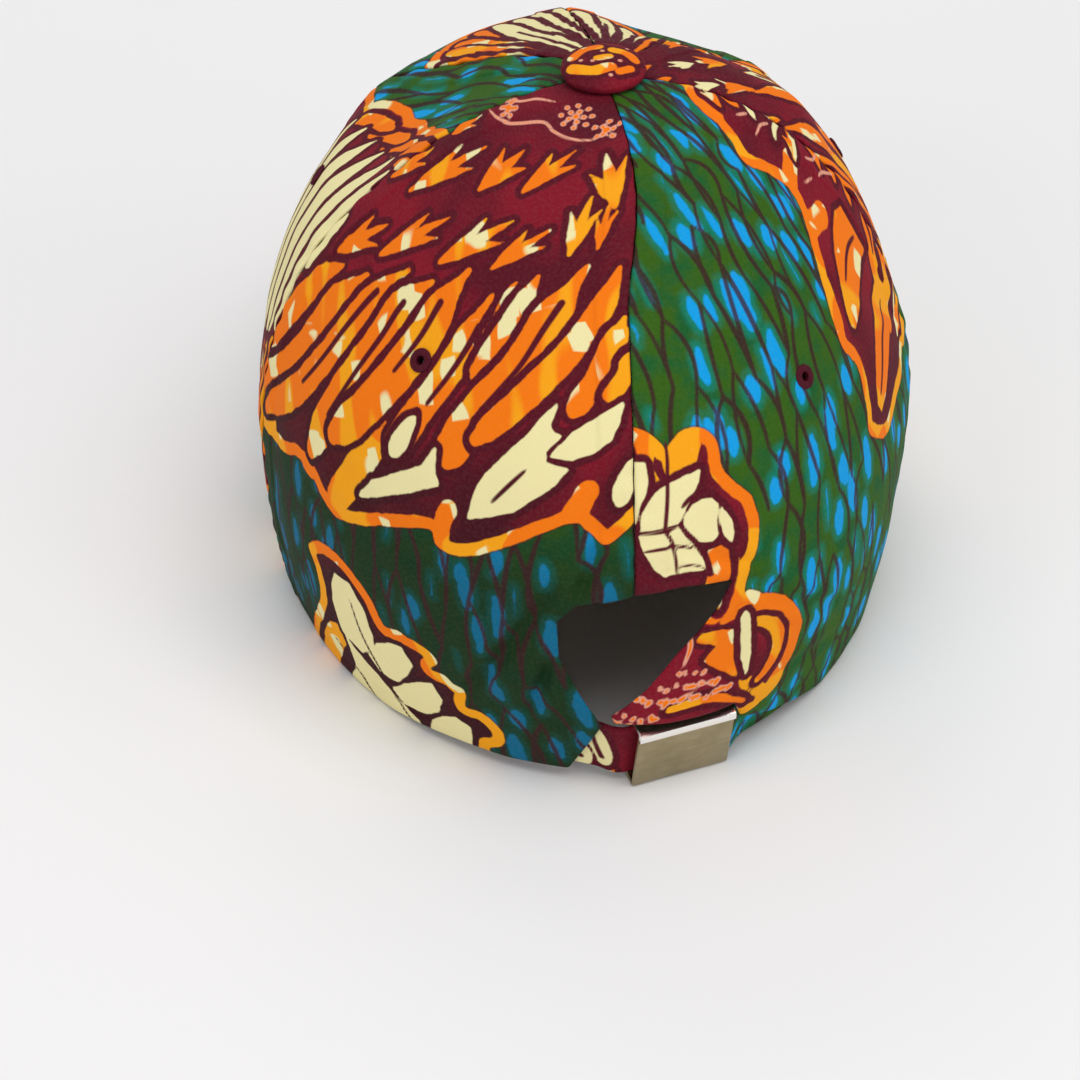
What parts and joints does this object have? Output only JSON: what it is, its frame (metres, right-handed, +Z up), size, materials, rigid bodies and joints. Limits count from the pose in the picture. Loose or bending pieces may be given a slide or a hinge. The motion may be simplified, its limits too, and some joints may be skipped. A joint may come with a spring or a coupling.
{
  "type": "wax print cap",
  "caption": "Soft six-panel cap in wax print cotton with a covered button, air holes, a curved peak and a back strap closed by a metal clamp.",
  "frame": {"origin": "under the middle of the cap, on the plane that its rim rests on", "axes": "+Z up through the button, -Y towards the peak, +Y towards the strap at the back"},
  "size_m": [0.1662, 0.2734, 0.1456],
  "materials": {
    "panel_back_right": "wax print cotton, green ground with blue drops and an orange wing",
    "panel_side_right": "wax print cotton, maroon and orange",
    "panel_front_right": "wax print cotton, orange and cream",
    "panel_front_left": "wax print cotton, cream feathers with dark lines",
    "panel_side_left": "wax print cotton, green with cream feathers",
    "panel_back_left": "wax print cotton, maroon with orange feathers and a green lower part",
    "button": "covered in the same cloth, maroon and orange",
    "eyelet_thread": "dark maroon embroidery thread",
    "peak": "stitched cloth over a stiff board",
    "strap": "folded strip of the same cloth, cream, orange and maroon",
    "strap_tab": "folded strip of the same cloth, green with blue spots",
    "buckle": "brushed pewter-coloured metal with a bright bevelled edge"
  },
  "bodies": {
    "root": {"panel_back_right": "panel_back_right", "panel_side_right": "panel_side_right", "panel_front_right": "panel_front_right", "panel_front_left": "panel_front_left", "panel_side_left": "panel_side_left", "panel_back_left": "panel_back_left", "button": "button", "eyelet_back_right": "eyelet_thread", "eyelet_side_right": "eyelet_thread", "eyelet_front_right": "eyelet_thread", "eyelet_front_left": "eyelet_thread", "eyelet_side_left": "eyelet_thread", "eyelet_back_left": "eyelet_thread", "peak": "peak", "strap": "strap", "strap_tab": "strap_tab", "buckle": "buckle"}
  },
  "joints": []
}
